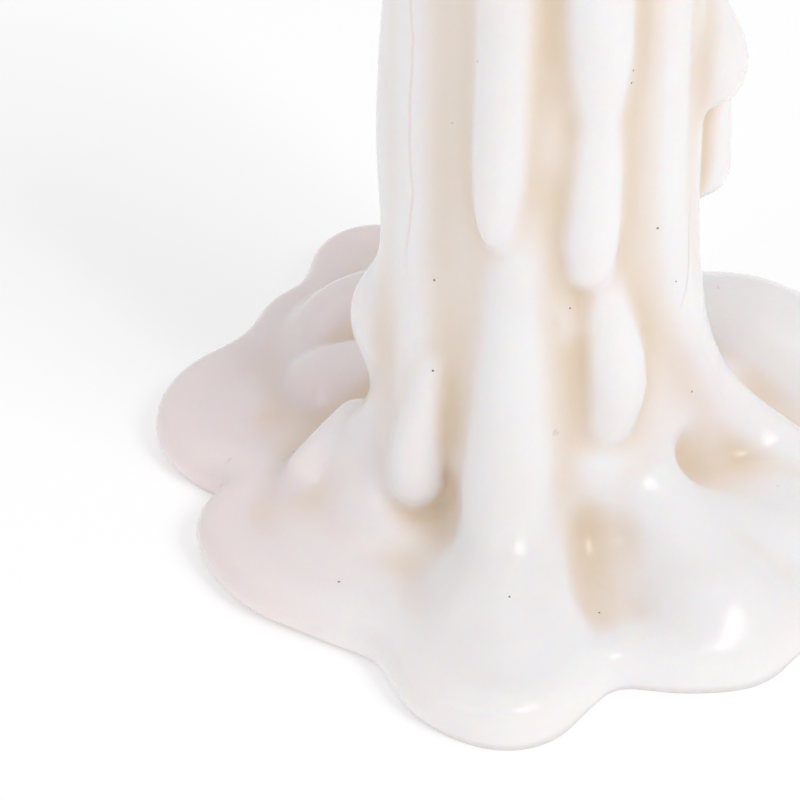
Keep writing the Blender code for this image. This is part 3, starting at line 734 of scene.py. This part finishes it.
def tab_finish():
    """Tinned steel, scratched and dulled in patches, with smears of wax."""
    sheet = Sheet("tinned steel")
    clouds = sheet.noise(0.004, detail=3.0)
    scratches = sheet.noise(0.0009, detail=1.0, stretch=(1.0, 0.04, 1.0), offset=0.3)
    wax = sheet.noise(0.0035, detail=2.0, offset=0.7).ramp(0.56, 0.62)
    colour = sheet.mix(clouds.ramp(0.4, 0.7), (0.66, 0.66, 0.67), (0.50, 0.46, 0.41))
    colour = sheet.mix(scratches.ramp(0.62, 0.72) * 0.5, colour, (0.80, 0.80, 0.80))
    colour = sheet.mix(wax * 0.9, colour, (0.86, 0.80, 0.74))
    rough = 0.30 + 0.25 * clouds + 0.1 * scratches
    sheet.set(Base_Color=colour, Roughness=rough, Metallic=1.0 - wax)
    sheet.set(Normal=sheet.bump(scratches + wax * 2.0, 0.00008, 0.6))
    return sheet.material


wax = wax_body()
mark_hollows(wax)
dress(wax, wax_finish())
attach(wax, "root")
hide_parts("wax_body")

wick = braided_wick()
dress(wick, wick_finish())
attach(wick, "root")
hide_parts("wick")

dress(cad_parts["wick_tab"], tab_finish())


# ---------------------------------------------------------------- table, light and camera
DAYLIGHT = 0.655
KEY = 0.66                   # each softbox's light on what faces it, beside the daylight's
SPARKLE = 0.12
FILL = 0.12
TOP = 0.20
WATTS = 12.6                 # of a softbox 2 m away, for a light of 1 on what faces it
SPARKLE_WATTS = 11.4         # the same at 1.9 m
TABLE_GLOW = 0.285           # a lit table, which keeps the shadows faint
CAMERA_RISE = 37.0           # degrees above the level
CAMERA_AIM = (-23.2, 9.34, 12.39)                           # from the wick's foot, in mm
CAMERA_DISTANCE = 0.8


def table():
    """The pale table top that the candle stands on."""
    bpy.ops.mesh.primitive_plane_add(size=8.0)
    floor = bpy.context.view_layer.objects.active
    floor.name = "table_top"
    sheet = Sheet("pale table")
    sheet.set(Base_Color=(0.80, 0.80, 0.80), Roughness=0.8, Emission_Color=(1.0, 1.0, 1.0))
    sheet.set(Emission_Strength=TABLE_GLOW)
    dress(floor, sheet.material)


def softbox(name, bearing, elevation, distance, size, power, colour):
    """A square soft light aimed at the middle of the candle."""
    light = bpy.data.lights.new(name, "AREA")
    light.size = size
    light.energy = power
    light.color = colour
    lamp = link(bpy.data.objects.new(name, light))
    turn, rise = math.radians(bearing), math.radians(elevation)
    aim = AXIS + metres(0, 0, 50)
    level = math.cos(rise)
    out = Vector((math.sin(turn) * level, -math.cos(turn) * level, math.sin(rise)))
    lamp.location = aim + out * distance
    lamp.rotation_euler = (-out).to_track_quat("-Z", "Y").to_euler()


def daylight(colour, strength):
    """An even light from all round."""
    world = bpy.data.worlds.new("studio")
    bpy.context.scene.world = world
    world.use_nodes = True
    background = world.node_tree.nodes["Background"]
    background.inputs["Color"].default_value = (*colour, 1.0)
    background.inputs["Strength"].default_value = strength


def camera():
    """Straight on to the front and well above it, close in on the foot of the candle."""
    rise = math.radians(CAMERA_RISE)
    out = Vector((0.0, -math.cos(rise), math.sin(rise)))
    aim = AXIS + metres(*CAMERA_AIM)
    lens = bpy.data.cameras.new("camera")
    lens.sensor_width = 36.0
    lens.lens = 225.0
    lens.clip_start = 0.01
    eye = link(bpy.data.objects.new("camera", lens))
    eye.location = aim + out * CAMERA_DISTANCE
    eye.rotation_euler = (-out).to_track_quat("-Z", "Y").to_euler()
    bpy.context.scene.camera = eye


table()
daylight((0.985, 0.99, 1.0), DAYLIGHT)
softbox("key", 46, 46, 2.0, 0.75, KEY * WATTS, (1.0, 0.99, 0.985))
softbox("sparkle", 36, 46, 1.9, 0.13, SPARKLE * SPARKLE_WATTS, (1.0, 0.99, 0.985))
softbox("top", 180, 78, 2.0, 1.0, TOP * WATTS, (0.99, 0.99, 1.0))
softbox("left fill", -40, 40, 2.0, 0.35, FILL * WATTS, (0.97, 0.98, 1.0))
camera()
bpy.context.scene.view_settings.view_transform = "Standard"
